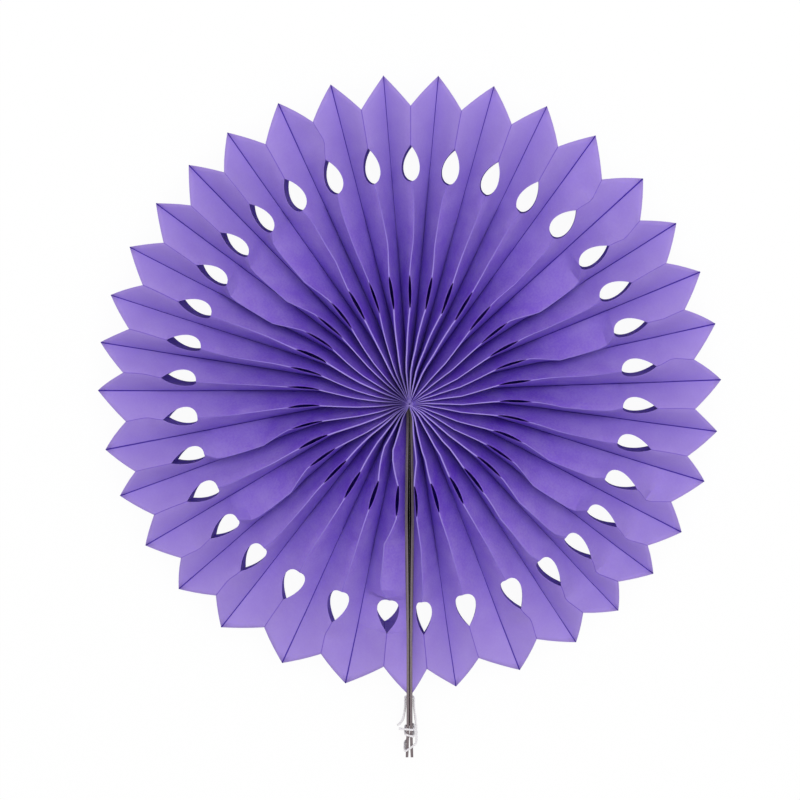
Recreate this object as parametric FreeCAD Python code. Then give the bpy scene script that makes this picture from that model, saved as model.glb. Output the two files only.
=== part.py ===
import FreeCAD, Part

import math
import os

from FreeCAD import Vector

# Paper fan rosette, opened to a full disc, in millimetres.
# The disc lies face up. +Z points out of its front, and the two ribs point along -Y.
# The origin is on the surface that the fan lies on, straight below the middle of its hub.

# Petals
petal_count = 35
tip_radius = 200.0
notch_depth = 18.5
notch_width = 0.8
rim_bulge = 0.8
rim_ridge_height = 13.6
rim_drop = 10.0
paper_thickness = 0.35
seam_glue_width = 1.6
hub_hole_radius = 1.0
stack_gap = 0.3

# How unevenly the petals are opened, in degrees of seam angle round the disc
opening_swing = 3.1
opening_second_swing = 1.7
opening_lean = 2.0

# Cut-outs in each ridge
teardrop_start_radius = 135.2
teardrop_length = 22.6
teardrop_depth = 9.8
slit_start_radius = 57.0
slit_length = 20.3
slit_depth = 3.6

# Half-widths of the cut-outs, as shares of the widest, at shares of their length from the hub side
teardrop_profile = [(0.0, 0.34), (0.2, 0.92), (0.5, 0.94), (1.0, 0.06)]
slit_profile = [(0.0, 0.8), (1.0, 0.7)]
rim_curve_steps = 2

# Ribs
rib_start_radius = 10.0
rib_beyond_rim = 45.0
rib_thickness = 1.7
rib_width = 14.0
rib_hub_gap = 0.3
rib_bow_gap = 1.5
rib_touch_radius = 160.0
rib_end_gap = 2.4

# Thread ring that gathers the sheets at the hub
hub_thread_diameter = 0.8
hub_thread_radius = 7.0
hub_thread_clearance = 0.05
hub_ring_runs = 14

# Tie thread round the rib ends
tie_thread_diameter = 1.2
tie_thread_clearance = 0.1
tie_hole_diameter = 2.0
tie_hole_beyond_rim = 5.0
tie_first_turn_from_rib_end = 19.5
tie_turn_spacing = 4.6
tie_last_turn_slant = 5.5
tie_corner_radius = 0.8
tie_strand_bend = 6.0
tie_strand_stand_off = 1.45
tie_tail_length = 4.2
tie_bend_runs = 2
thread_sides = 6

# Worked out from the sizes above
seam_half = seam_glue_width / 2
rib_half_width = rib_width / 2
mid_slope = rim_drop / tip_radius
notch_radius = tip_radius - notch_depth
rib_end_radius = tip_radius + rib_beyond_rim
tie_hole_radius = tip_radius + tie_hole_beyond_rim
tie_first_turn_radius = rib_end_radius - tie_first_turn_from_rib_end
cut_margin = 0.02 * tip_radius
fold_radii = [0.17 * tip_radius, 0.4 * tip_radius, 0.8 * tip_radius]
outer_radii = [hub_hole_radius, rib_start_radius] + fold_radii + [tip_radius + cut_margin]
cavity_radii = [rib_start_radius] + fold_radii + [tip_radius + 2 * cut_margin]


def opened_share(position):
    """Angle from the ribs, in degrees, of the seam at this share of the stack."""
    turn = 2 * math.pi * position
    swing = opening_swing * math.sin(turn) + opening_second_swing * math.sin(2 * turn)
    lean = opening_lean * (math.cos(2 * turn) - 1)
    return 360.0 * position + swing + lean


def rib_inner_face(radius):
    """Distance from the fan's middle line to a rib's inner face."""
    if radius <= rib_touch_radius:
        reach = (radius - rib_start_radius) / (rib_touch_radius - rib_start_radius)
        bow = (rib_bow_gap - rib_hub_gap) * math.sin(math.pi * max(reach, 0.0))
        return (rib_hub_gap + bow) / 2
    if radius <= tie_first_turn_radius:
        return rib_hub_gap / 2
    reach = (radius - tie_first_turn_radius) / tie_first_turn_from_rib_end
    return (rib_hub_gap + reach * (rib_end_gap - rib_hub_gap)) / 2


def rib_outer_face(radius):
    """Distance from the fan's middle line to where the paper is glued on a rib."""
    if radius >= rib_start_radius:
        return rib_inner_face(radius) + rib_thickness
    start = stack_gap / 2
    full = rib_inner_face(rib_start_radius) + rib_thickness
    return start + (full - start) * (radius - hub_hole_radius) / (rib_start_radius - hub_hole_radius)


def petal_openings():
    """Opening angle of every petal, with the two at the ribs narrowed by the paper glued to the boards."""
    angles = [opened_share((i + 1) / petal_count) - opened_share(i / petal_count) for i in range(petal_count)]
    half_chord = tip_radius * math.sin(math.radians(max(angles) / 2))
    free_width = math.hypot(half_chord, rim_ridge_height - seam_half)
    rib_petal_share = 1 - (rib_half_width - seam_half) / (2 * free_width)
    angles[0] *= rib_petal_share
    angles[-1] *= rib_petal_share
    total = sum(angles)
    return [angle * 360.0 / total for angle in angles]


openings = petal_openings()
widest_half_chord = tip_radius * math.sin(math.radians(max(openings) / 2))
sheet_half_width = seam_half + math.hypot(widest_half_chord, rim_ridge_height - seam_half)


def seam_point(index, radius):
    """Plan position of a seam. The first and last seams run along the ribs' outer faces."""
    rib_angle = math.degrees(math.asin(rib_outer_face(radius) / radius))
    share = sum(openings[:index]) / 360.0
    angle = math.radians(-90.0 + rib_angle + (360.0 - 2 * rib_angle) * share)
    return Vector(radius * math.cos(angle), radius * math.sin(angle), 0)


def glue_half(index):
    """Half the height of the glued strip at a seam: a thin line, or a rib's whole width."""
    return rib_half_width if index in (0, petal_count) else seam_half


def ridge_of(index, radius):
    """Width between a petal's two seams, and its ridge's place across it and height above the middle."""
    width = (seam_point(index + 1, radius) - seam_point(index, radius)).Length
    low_left = glue_half(index)
    low_right = glue_half(index + 1)
    left = sheet_half_width - low_left
    right = sheet_half_width - low_right
    rise = low_right - low_left
    apart = math.hypot(width, rise)
    along = (apart ** 2 + left ** 2 - right ** 2) / (2 * apart)
    above = math.sqrt(left ** 2 - along ** 2)
    across = (along * width - above * rise) / apart
    height = low_left + (along * rise + above * width) / apart
    return width, across, height


def rest_height():
    """Height of the hub's middle at which the lowest back ridge lies on the surface."""
    drops = [0.0]
    for index in range(petal_count):
        for radius in outer_radii[:-1]:
            drops.append(ridge_of(index, radius)[2] + mid_slope * radius)
    return max(drops)


hub_height = rest_height()


def mid_height(radius):
    """Height of the fan's middle surface, which slopes down towards the rim."""
    return hub_height - mid_slope * radius


def section_outline(index, radius):
    """Six corners of a petal's section, as places across it and heights from its middle."""
    width, across, height = ridge_of(index, radius)
    low_left = glue_half(index)
    low_right = glue_half(index + 1)
    return [
        (0.0, -low_left),
        (0.0, low_left),
        (across, height),
        (width, low_right),
        (width, -low_right),
        (across, -height),
    ]


def inset_outline(corners, distance):
    """The same six-sided outline with every side moved inwards by one distance."""
    lines = []
    for k, (x0, y0) in enumerate(corners):
        x1, y1 = corners[(k + 1) % len(corners)]
        length = math.hypot(x1 - x0, y1 - y0)
        nx, ny = (y1 - y0) / length, -(x1 - x0) / length
        lines.append((nx, ny, nx * x0 + ny * y0 + distance))
    inset = []
    for k, (a1, b1, c1) in enumerate(lines):
        a0, b0, c0 = lines[k - 1]
        det = a0 * b1 - a1 * b0
        inset.append(((c0 * b1 - c1 * b0) / det, (a0 * c1 - a1 * c0) / det))
    return inset


def placed_section(index, radius, corners):
    """Section corners put in place between the petal's two seams at one radius."""
    start = seam_point(index, radius)
    direction = seam_point(index + 1, radius) - start
    direction.normalize()
    middle = mid_height(radius)
    return [start + direction * across + Vector(0, 0, middle + height) for across, height in corners]


def flat_face(points):
    """Plane face through points in order."""
    return Part.Face(Part.makePolygon(points + [points[0]]))


def folded_side(low_a, low_b, high_b, high_a):
    """Two flat triangles that close the side between two neighbouring corners of two sections."""
    return [flat_face([low_a, low_b, high_a]), flat_face([low_b, high_b, high_a])]


def skin_sections(sections):
    """Solid through six-cornered sections: flat glued strips, and panels creased from seam to ridge."""
    faces = [flat_face(sections[0]), flat_face(sections[-1])]
    for near, far in zip(sections, sections[1:]):
        faces.append(flat_face([near[0], near[1], far[1], far[0]]))
        faces.append(flat_face([near[3], near[4], far[4], far[3]]))
        for seam, ridge in ((1, 2), (3, 2), (4, 5), (0, 5)):
            faces += folded_side(near[seam], far[seam], far[ridge], near[ridge])
    return Part.makeSolid(Part.makeShell(faces))


def upright_prism(outline):
    """Tall upright prism over a closed plan outline, past the fan's back and front."""
    reach = 2 * sheet_half_width
    face = flat_face(outline)
    face.translate(Vector(0, 0, hub_height - reach))
    return face.extrude(Vector(0, 0, 2 * reach))


def ridge_corner(index, radius):
    """Plan position of a petal's ridge at one of the sections."""
    start = seam_point(index, radius)
    direction = seam_point(index + 1, radius) - start
    direction.normalize()
    return start + direction * ridge_of(index, radius)[1]


def ridge_plan_point(index, radius):
    """Plan position on a petal's ridge, which runs straight from section to section."""
    near = max(r for r in outer_radii if r <= radius)
    far = min(r for r in outer_radii if r > radius)
    share = (radius - near) / (far - near)
    return ridge_corner(index, near) * (1 - share) + ridge_corner(index, far) * share


def bulged_run(start, end, bulge):
    """Points from start to end along a curve that swells to its right by the bulge."""
    along = end - start
    side = Vector(along.y, -along.x, 0).normalize()
    points = []
    for step in range(rim_curve_steps + 1):
        share = step / rim_curve_steps
        points.append(start + along * share + side * (4 * bulge * share * (1 - share)))
    return points


def rim_cutter(index):
    """Everything outside a petal's edge, which runs from tip to notch to tip."""
    first = seam_point(index, tip_radius)
    last = seam_point(index + 1, tip_radius)
    notch = ridge_plan_point(index, notch_radius)
    half_notch = (last - first).normalize() * (notch_width / 2)
    first_out = first + (first - notch).normalize() * cut_margin
    last_out = last + (last - notch).normalize() * cut_margin
    outwards = (first + last).normalize() * (4 * cut_margin)
    rim = bulged_run(first, notch - half_notch, rim_bulge) + bulged_run(notch + half_notch, last, rim_bulge)
    return upright_prism([first_out] + rim + [last_out, last_out + outwards, first_out + outwards])


def cut_half_widths(index, radius, depth):
    """How far a cut of one depth in the folded sheets reaches to each side of the ridge in plan."""
    width, across, _ = ridge_of(index, radius)
    left = depth * across / (sheet_half_width - glue_half(index))
    right = depth * (width - across) / (sheet_half_width - glue_half(index + 1))
    return left, right


def ridge_cutter(index, start_radius, length, depth, profile):
    """Upright cut-out that lies along a petal's ridge, as wide as its profile says."""
    widest_share = max(profile, key=lambda stop: stop[1])[0]
    left, right = cut_half_widths(index, start_radius + widest_share * length, depth)
    start = ridge_plan_point(index, start_radius)
    end = ridge_plan_point(index, start_radius + length)
    across = seam_point(index, start_radius) - seam_point(index + 1, start_radius)
    across.normalize()
    left_side = [start + (end - start) * share + across * (left * width) for share, width in profile]
    right_side = [start + (end - start) * share - across * (right * width) for share, width in profile]
    return upright_prism(left_side + right_side[::-1])


def make_petal(index):
    """One hollow petal: a front and a back sheet pair that meet at the ridges and seams."""
    outside = [placed_section(index, r, section_outline(index, r)) for r in outer_radii]
    inside = []
    for radius in cavity_radii:
        corners = inset_outline(section_outline(index, radius), paper_thickness)
        inside.append(placed_section(index, radius, corners))
    teardrop = ridge_cutter(index, teardrop_start_radius, teardrop_length, teardrop_depth, teardrop_profile)
    slit = ridge_cutter(index, slit_start_radius, slit_length, slit_depth, slit_profile)
    return skin_sections(outside).cut([skin_sections(inside), rim_cutter(index), teardrop, slit])


def thread_section(start, direction, diameter):
    """Corners of a thread's many-sided section, square across its direction."""
    level = direction.cross(Vector(0, 0, 1)).normalize()
    upright = level.cross(direction)
    corners = []
    for side in range(thread_sides):
        turn = 2 * math.pi * (side + 0.5) / thread_sides
        offset = level * math.cos(turn) + upright * math.sin(turn)
        corners.append(start + offset * (diameter / 2))
    return corners


def mitred_section(corners, point, direction, next_direction):
    """A section's corners slid along the thread onto the mitre between two straight runs."""
    normal = (direction + next_direction).normalize()
    slope = direction.dot(normal)
    return [corner + direction * ((point - corner).dot(normal) / slope) for corner in corners]


def thread_along(points, diameter, closed):
    """Solid thread along straight runs from point to point, mitred where two runs meet."""
    loop = points + points[:2] if closed else points
    runs = [(after - before).normalize() for before, after in zip(loop, loop[1:])]
    sections = [thread_section(loop[0], runs[0], diameter)]
    for point, run, next_run in zip(loop[1:], runs, runs[1:]):
        sections.append(mitred_section(sections[-1], point, run, next_run))
    if closed:
        sections[0] = sections[-1]
    else:
        sections.append(mitred_section(sections[-1], loop[-1], runs[-1], runs[-1]))
    faces = [] if closed else [flat_face(sections[0]), flat_face(sections[-1])]
    for near, far in zip(sections, sections[1:]):
        for k in range(thread_sides):
            m = (k + 1) % thread_sides
            faces.append(flat_face([near[k], near[m], far[m], far[k]]))
    return Part.makeSolid(Part.makeShell(faces))


def thread_ring(diameter):
    """Ring of thread that passes through every sheet near the hub."""
    height = mid_height(hub_thread_radius)
    points = []
    for corner in range(hub_ring_runs):
        turn = 2 * math.pi * corner / hub_ring_runs
        points.append(Vector(hub_thread_radius * math.cos(turn), hub_thread_radius * math.sin(turn), height))
    return thread_along(points, diameter, True)


def make_tissue_body():
    """All petals glued to each other along their seams, with the channel for the hub thread."""
    petals = [make_petal(index) for index in range(petal_count)]
    body = petals[0].multiFuse(petals[1:])
    return body.cut(thread_ring(hub_thread_diameter + 2 * hub_thread_clearance))


def rib_section(radius, side):
    """Upright rectangle across one rib, on the side given by its sign."""
    inner = side * rib_inner_face(radius)
    outer = inner + side * rib_thickness
    along = seam_point(0, radius).y
    low = mid_height(radius) - rib_half_width
    high = mid_height(radius) + rib_half_width
    return [
        Vector(inner, along, low),
        Vector(inner, along, high),
        Vector(outer, along, high),
        Vector(outer, along, low),
    ]


def make_rib(side):
    """Flat board that stands on edge from the hub to past the rim, bowed a little and drilled for the threads."""
    radii = outer_radii[1:] + [tie_first_turn_radius, rib_end_radius]
    sections = [rib_section(radius, side) for radius in radii]
    faces = [flat_face(sections[0]), flat_face(sections[-1])]
    for near, far in zip(sections, sections[1:]):
        for k in range(4):
            m = (k + 1) % 4
            faces.append(flat_face([near[k], near[m], far[m], far[k]]))
    board = Part.makeSolid(Part.makeShell(faces))
    reach = Vector(2 * (rib_thickness + rib_bow_gap), 0, 0)
    hole_centre = Vector(0, -tie_hole_radius, mid_height(tie_hole_radius))
    hole = thread_along([hole_centre - reach, hole_centre + reach], tie_hole_diameter, False)
    return board.cut(hole)


def beside_rib(radius):
    """Distance from the fan's middle line to thread that lies on a rib's outer face."""
    return rib_outer_face(radius) + tie_thread_diameter / 2 + tie_thread_clearance


def tie_route():
    """Corners of the tie thread's path and the bend at each: tail, two turns, a slanting turn, and a strand."""
    first = tie_first_turn_radius
    second = first + tie_turn_spacing
    third = second + tie_turn_spacing + tie_last_turn_slant
    hole = tie_hole_radius
    face = rib_half_width + tie_thread_diameter / 2 + tie_thread_clearance
    step = tie_turn_spacing / 4
    strand = beside_rib(third) + tie_strand_stand_off
    plan = [
        (-beside_rib(first) - tie_tail_length, first - 0.2 * tie_turn_spacing, face, 0),
        (beside_rib(first + step), first, face, tie_corner_radius),
        (beside_rib(first + 2 * step), first + step, -face, tie_corner_radius),
        (-beside_rib(first + 3 * step), first + 2 * step, -face, tie_corner_radius),
        (-beside_rib(first + 3 * step), first + 3 * step, face, tie_corner_radius),
        (beside_rib(second + step), second, face, tie_corner_radius),
        (beside_rib(second + 2 * step), second + step, -face, tie_corner_radius),
        (-beside_rib(third), third - 1.2 * step, -face, tie_corner_radius),
        (-beside_rib(third), third, face, tie_corner_radius),
        (strand, third - tie_last_turn_slant, face + 0.3, tie_corner_radius),
        (strand, first - 0.3 * tie_turn_spacing, 0.55 * face, tie_strand_bend),
        (beside_rib(hole), hole + 0.3 * (first - hole), 0.05 * face, tie_strand_bend),
        (beside_rib(hole), hole, 0.0, tie_corner_radius),
        (-beside_rib(hole), hole, 0.0, tie_corner_radius),
        (-beside_rib(hole), hole + 0.35 * (first - hole), 0.1 * face, tie_strand_bend),
        (-strand, first - 0.95 * tie_turn_spacing, 0.75 * face, tie_strand_bend),
        (-strand - 0.8 * tie_tail_length, first - 0.75 * tie_turn_spacing, face, 0),
    ]
    return [(Vector(x, -radius, mid_height(radius) + height), bend) for x, radius, height, bend in plan]


def rounded_path(stops):
    """Points along straight runs joined by bends, each of its corner's bend or as large as its two runs allow."""
    points = [stops[0][0]]
    for (before, _), (corner, bend), (after, _) in zip(stops, stops[1:], stops[2:]):
        back = before - corner
        ahead = after - corner
        shorter = min(back.Length, ahead.Length)
        back.normalize()
        ahead.normalize()
        half_turn = (math.pi - back.getAngle(ahead)) / 2
        setback = min(bend * math.tan(half_turn), 0.45 * shorter)
        radius = setback / math.tan(half_turn)
        centre = corner + (back + ahead).normalize() * (radius / math.cos(half_turn))
        inwards = (corner + back * setback - centre).normalize()
        for step in range(tie_bend_runs + 1):
            turned = 2 * half_turn * step / tie_bend_runs
            points.append(centre + (inwards * math.cos(turned) - back * math.sin(turned)) * radius)
    return points + [stops[-1][0]]


def make_tie_thread():
    """Thread wound round both rib ends and passed through the hole in them."""
    points = rounded_path(tie_route())
    length = sum((after - before).Length for before, after in zip(points, points[1:]))
    thread = thread_along(points, tie_thread_diameter, False)
    print("tie thread length", round(length, 1), "volume", round(thread.Volume, 1))
    return thread


def main():
    """Builds every piece and writes one file for each."""
    os.makedirs("parts", exist_ok=True)
    pieces = {
        "tissue_body": make_tissue_body(),
        "left_rib": make_rib(-1),
        "right_rib": make_rib(1),
        "hub_thread": thread_ring(hub_thread_diameter),
        "tie_thread": make_tie_thread(),
    }
    for name, shape in pieces.items():
        shape.exportStep("parts/" + name + ".step")
        box = shape.BoundBox
        print(name, "solids", len(shape.Solids), "valid", shape.isValid(), "volume", round(shape.Volume, 1))
        print("  from", round(box.XMin, 1), round(box.YMin, 1), round(box.ZMin, 2))
        print("  to", round(box.XMax, 1), round(box.YMax, 1), round(box.ZMax, 2))


main()
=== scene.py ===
"""Paper fan rosette: an opened tissue fan with teardrop cut-outs, held open by two tied board ribs."""

import logging
import math
from collections.abc import Callable
from dataclasses import dataclass
from enum import Enum
from functools import partial

import bmesh
import bpy
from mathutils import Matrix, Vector, noise


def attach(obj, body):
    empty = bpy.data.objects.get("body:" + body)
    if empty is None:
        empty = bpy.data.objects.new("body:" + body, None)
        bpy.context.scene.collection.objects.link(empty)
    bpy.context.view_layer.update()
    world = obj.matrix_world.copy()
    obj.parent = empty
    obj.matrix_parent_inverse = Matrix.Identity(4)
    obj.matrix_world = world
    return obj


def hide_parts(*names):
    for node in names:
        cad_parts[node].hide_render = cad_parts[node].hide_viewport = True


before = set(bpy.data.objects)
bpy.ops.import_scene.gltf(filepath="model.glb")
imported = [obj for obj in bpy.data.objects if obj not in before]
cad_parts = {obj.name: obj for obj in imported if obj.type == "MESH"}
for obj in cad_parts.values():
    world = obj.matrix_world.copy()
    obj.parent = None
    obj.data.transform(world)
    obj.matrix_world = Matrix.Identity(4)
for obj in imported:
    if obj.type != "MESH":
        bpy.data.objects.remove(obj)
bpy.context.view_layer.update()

log = logging.getLogger("paper_fan")

MM = 0.001
ROOT = "root"
TINY = 1e-6

# Which result of a Mix node is its colour, and how many waves a band texture has in one unit of its space
COLOUR = 2
BAND_WAVES = 20.0 / (2 * math.pi)


class Flank(Enum):
    """The two sheets that make a petal, by the seam that each is glued along."""

    FIRST = 0
    LAST = 1


class Side(Enum):
    """The two sides of the opened fan."""

    FRONT = 1
    BACK = -1


def srgb(code: str) -> tuple[float, float, float, float]:
    """Turns an sRGB hex colour into linear values.

    Args:
        code: Six hex digits, with or without a hash.

    Returns:
        Linear red, green and blue, and an alpha of 1.
    """
    digits = code.lstrip("#")
    values = [int(digits[k : k + 2], 16) / 255 for k in (0, 2, 4)]
    linear = [v / 12.92 if v <= 0.04045 else ((v + 0.055) / 1.055) ** 2.4 for v in values]
    return (*linear, 1.0)


def add_node(
    tree: bpy.types.NodeTree,
    kind: str,
    settings: dict | None = None,
    values: dict | None = None,
    links: dict | None = None,
) -> bpy.types.Node:
    """Adds one shader node with its settings and links.

    Args:
        tree: The material's node tree.
        kind: The node's type name.
        settings: Properties of the node by name.
        values: Numbers and colours for its own sockets, by socket name or number.
        links: Output sockets that feed its inputs, by socket name or number.

    Returns:
        The new node.
    """
    new = tree.nodes.new(kind)
    for name, value in (settings or {}).items():
        setattr(new, name, value)
    for name, value in (values or {}).items():
        new.inputs[name].default_value = value
    for name, output in (links or {}).items():
        tree.links.new(output, new.inputs[name])
    return new


def new_material(name: str) -> tuple[bpy.types.Material, Callable[..., bpy.types.Node]]:
    """Starts an empty node material.

    Args:
        name: The material's name.

    Returns:
        The material, and add_node for its cleared node tree.
    """
    material = bpy.data.materials.new(name)
    material.use_nodes = True
    material.node_tree.nodes.clear()
    return material, partial(add_node, material.node_tree)


def span(places: tuple[float, float], before: float = 0.0, after: float = 1.0) -> dict[str, float]:
    """Gives the socket values of a share that changes between two places.

    Args:
        places: Where the change starts and ends, in millimetres.
        before: The share up to its start.
        after: The share past its end.

    Returns:
        The values by socket name, with the places in metres.
    """
    start, end = places
    return {"From Min": start * MM, "From Max": end * MM, "To Min": before, "To Max": after}


def add_object(name: str, data: bpy.types.ID) -> bpy.types.Object:
    """Puts a new object into the scene, at the origin.

    Args:
        name: The object's name.
        data: Its mesh, curve, lamp or camera.

    Returns:
        The new object.
    """
    new = bpy.data.objects.new(name, data)
    bpy.context.scene.collection.objects.link(new)
    return new


def add_piece(name: str, mesh: bmesh.types.BMesh) -> bpy.types.Object:
    """Puts a finished mesh into the scene as an object and frees it.

    Args:
        name: The name of the object and its data.
        mesh: The mesh, in the fan's own place.

    Returns:
        The new object.
    """
    data = bpy.data.meshes.new(name)
    mesh.to_mesh(data)
    mesh.free()
    return add_object(name, data)


def wave(position: float, row: float, seed: float) -> float:
    """Smooth seeded noise from -1 to 1 along a sheet.

    Args:
        position: Place along the sheet, in waves.
        row: Which sheet or line it is.
        seed: Tells apart the uses of one row.

    Returns:
        The noise at that place.
    """
    return noise.noise(Vector((position, row * 7.31 + 0.5, seed * 3.17 + 0.5)))


def smooth_step(low: float, high: float, value: float) -> float:
    """Rises smoothly from 0 at low to 1 at high.

    Args:
        low: Where the rise starts.
        high: Where it ends.
        value: The place asked for.

    Returns:
        The height there, from 0 to 1.
    """
    share = min(max((value - low) / (high - low), 0.0), 1.0)
    return share * share * (3 - 2 * share)


def hump(rise: tuple[float, float], fall: tuple[float, float], value: float) -> float:
    """Rises smoothly from 0 to 1 and falls back to 0.

    Args:
        rise: Where the rise starts and ends.
        fall: Where the fall starts and ends.
        value: The place asked for.

    Returns:
        The height there, from 0 to 1.
    """
    return smooth_step(*rise, value) * (1 - smooth_step(*fall, value))


def read_line(line: tuple[tuple[float, float], ...], place: float) -> float:
    """Reads a height from a line of straight pieces.

    Args:
        line: Its corners, as places with heights.
        place: The place asked for.

    Returns:
        The height there, or 0 outside the line.
    """
    for (start, low), (end, high) in zip(line, line[1:]):
        if start <= place <= end:
            return low + (high - low) * (place - start) / (end - start)
    return 0.0


@dataclass(frozen=True)
class TissueFinish:
    """Lavender tissue paper, dyed in the mass and machine glazed, with painted highlight and painted shade in
    its colour.

    Places across a sheet start at its ridge, and places along it at the hub.
    """

    name: str = "dyed_tissue_paper"
    # Hub and rim tints: painted shade darkens the hub, painted light pales the rim
    hub_tint_painted_shade: str = "#824EE2"
    rim_tint_painted_light: str = "#C0A6EE"
    cloud: str = "#CCB6F4"
    # Painted shade: the hub is drawn darker on its left
    hub_shade: str = "#40307C"
    glue_line: str = "#4A2CB0"
    # Painted highlight along the ridge near the hub, turning to painted shade past the holes
    ridge_painted_highlight: str = "#C4B0F8"
    ridge_painted_shade: str = "#7E62CC"
    shine_through: str = "#A07CEC"
    fibre_mm: float = 1.6
    fibre_relief_mm: float = 0.08
    cloud_mm: float = 14.0
    cloud_mix: float = 0.45
    cloud_contrast: tuple[float, float] = (0.4, 0.64)
    cloud_share: float = 0.42
    through_share: float = 0.38
    # Where the tint turns from painted hub shade to painted rim light
    painted_gradient_mm: tuple[float, float] = (62.0, 190.0)
    # Share, width and change of the painted ridge highlight and shade
    fold_share: float = 0.85
    painted_ridge_mm: tuple[float, float] = (0.35, 0.8)
    highlight_to_shade_mm: tuple[float, float] = (75.0, 158.0)
    glue_mm: tuple[float, float] = (0.285, 0.95)
    # Strength and places of the painted shade on the hub's left
    painted_shade_share: float = 0.72
    painted_shade_side_mm: tuple[float, float] = (4.0, -6.0)
    painted_shade_hub_mm: tuple[float, float] = (26.0, 8.0)
    roughness: float = 0.85
    gloss: float = 0.25

    def build(self, seam_mm: float) -> bpy.types.Material:
        """Makes the material, which reads millimetres across and along the sheet from its UV map.

        Args:
            seam_mm: Distance of the glued seam from the sheet's ridge edge.

        Returns:
            The finished material.
        """
        # The eye sees soft clouds and short fibres, a dark line where glue has soaked in, and light that comes
        # through the sheet. Light and shade are also painted into the colour: a painted highlight along each
        # ridge that turns to painted shade past the holes, painted shade at the hub that is darkest on its
        # left, and a tint that is painted shade at the hub and painted light towards the rim. Real fibres are
        # finer: they are drawn as coarse as shows.
        material, add = new_material(self.name)
        place = add("ShaderNodeUVMap", {"uv_map": "sheet"})
        fibres = add(
            "ShaderNodeTexNoise",
            values={"Scale": 1000.0 / self.fibre_mm, "Detail": 4.0, "Roughness": 0.65},
            links={"Vector": place.outputs["UV"]},
        )
        clouds = add(
            "ShaderNodeTexNoise",
            values={"Scale": 1000.0 / self.cloud_mm, "Detail": 3.0},
            links={"Vector": place.outputs["UV"]},
        )
        mixed = add(
            "ShaderNodeMix",
            {"data_type": "FLOAT"},
            {"Factor": self.cloud_mix},
            {"A": fibres.outputs["Fac"], "B": clouds.outputs["Fac"]},
        )
        cloudy = add(
            "ShaderNodeMapRange",
            values={"From Min": self.cloud_contrast[0], "From Max": self.cloud_contrast[1]},
            links={"Value": mixed.outputs["Result"]},
        )
        spot = add("ShaderNodeTexCoord")
        flat = add(
            "ShaderNodeVectorMath",
            {"operation": "MULTIPLY"},
            {1: (1.0, 1.0, 0.0)},
            {0: spot.outputs["Object"]},
        )
        reach = add("ShaderNodeVectorMath", {"operation": "LENGTH"}, links={0: flat.outputs["Vector"]})
        # Painted light: the tint darkens towards the hub as painted shade and pales towards the rim as painted
        # light
        towards_rim = add(
            "ShaderNodeMapRange", values=span(self.painted_gradient_mm), links={"Value": reach.outputs["Value"]}
        )
        tint_and_painted_light = add(
            "ShaderNodeMix",
            {"data_type": "RGBA"},
            {"A": srgb(self.hub_tint_painted_shade), "B": srgb(self.rim_tint_painted_light)},
            {"Factor": towards_rim.outputs["Result"]},
        )
        clouded = add(
            "ShaderNodeMath",
            {"operation": "MULTIPLY"},
            {1: self.cloud_share},
            {0: cloudy.outputs["Result"]},
        )
        tint_and_painted_light = add(
            "ShaderNodeMix",
            {"data_type": "RGBA"},
            {"B": srgb(self.cloud)},
            {"Factor": clouded.outputs["Value"], "A": tint_and_painted_light.outputs[COLOUR]},
        )
        parts = add("ShaderNodeSeparateXYZ", links={"Vector": place.outputs["UV"]})
        # Painted highlight along the ridge crest near the hub, turning to a painted shade line past the holes
        past_holes = add(
            "ShaderNodeMapRange", values=span(self.highlight_to_shade_mm), links={"Value": reach.outputs["Value"]}
        )
        painted_ridge_light = add(
            "ShaderNodeMix",
            {"data_type": "RGBA"},
            {"A": srgb(self.ridge_painted_highlight), "B": srgb(self.ridge_painted_shade)},
            {"Factor": past_holes.outputs["Result"]},
        )
        on_painted_ridge = add(
            "ShaderNodeMapRange",
            {"interpolation_type": "SMOOTHSTEP"},
            span(self.painted_ridge_mm, self.fold_share, 0.0),
            {"Value": parts.outputs["X"]},
        )
        tint_and_painted_light = add(
            "ShaderNodeMix",
            {"data_type": "RGBA"},
            links={
                "Factor": on_painted_ridge.outputs["Result"],
                "A": tint_and_painted_light.outputs[COLOUR],
                "B": painted_ridge_light.outputs[COLOUR],
            },
        )
        # Painted shade: the hub is drawn darker to the left of its middle
        sideways = add("ShaderNodeSeparateXYZ", links={"Vector": spot.outputs["Object"]})
        to_left = add(
            "ShaderNodeMapRange",
            {"interpolation_type": "SMOOTHSTEP"},
            span(self.painted_shade_side_mm, after=self.painted_shade_share),
            {"Value": sideways.outputs["X"]},
        )
        at_hub = add(
            "ShaderNodeMapRange",
            {"interpolation_type": "SMOOTHSTEP"},
            span(self.painted_shade_hub_mm),
            {"Value": reach.outputs["Value"]},
        )
        painted_shade_mask = add(
            "ShaderNodeMath",
            {"operation": "MULTIPLY"},
            links={0: to_left.outputs["Result"], 1: at_hub.outputs["Result"]},
        )
        tint_and_painted_light = add(
            "ShaderNodeMix",
            {"data_type": "RGBA"},
            {"B": srgb(self.hub_shade)},
            {"Factor": painted_shade_mask.outputs["Value"], "A": tint_and_painted_light.outputs[COLOUR]},
        )
        from_seam = add(
            "ShaderNodeMath", {"operation": "SUBTRACT"}, {0: seam_mm * MM}, {1: parts.outputs["X"]}
        )
        glued = add(
            "ShaderNodeMapRange",
            {"interpolation_type": "SMOOTHSTEP"},
            span(self.glue_mm, 1.0, 0.0),
            {"Value": from_seam.outputs["Value"]},
        )
        colour = add(
            "ShaderNodeMix",
            {"data_type": "RGBA"},
            {"B": srgb(self.glue_line)},
            {"Factor": glued.outputs["Result"], "A": tint_and_painted_light.outputs[COLOUR]},
        )
        rough_fibres = add(
            "ShaderNodeBump",
            values={"Strength": 0.25, "Distance": self.fibre_relief_mm * MM},
            links={"Height": fibres.outputs["Fac"]},
        )
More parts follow.
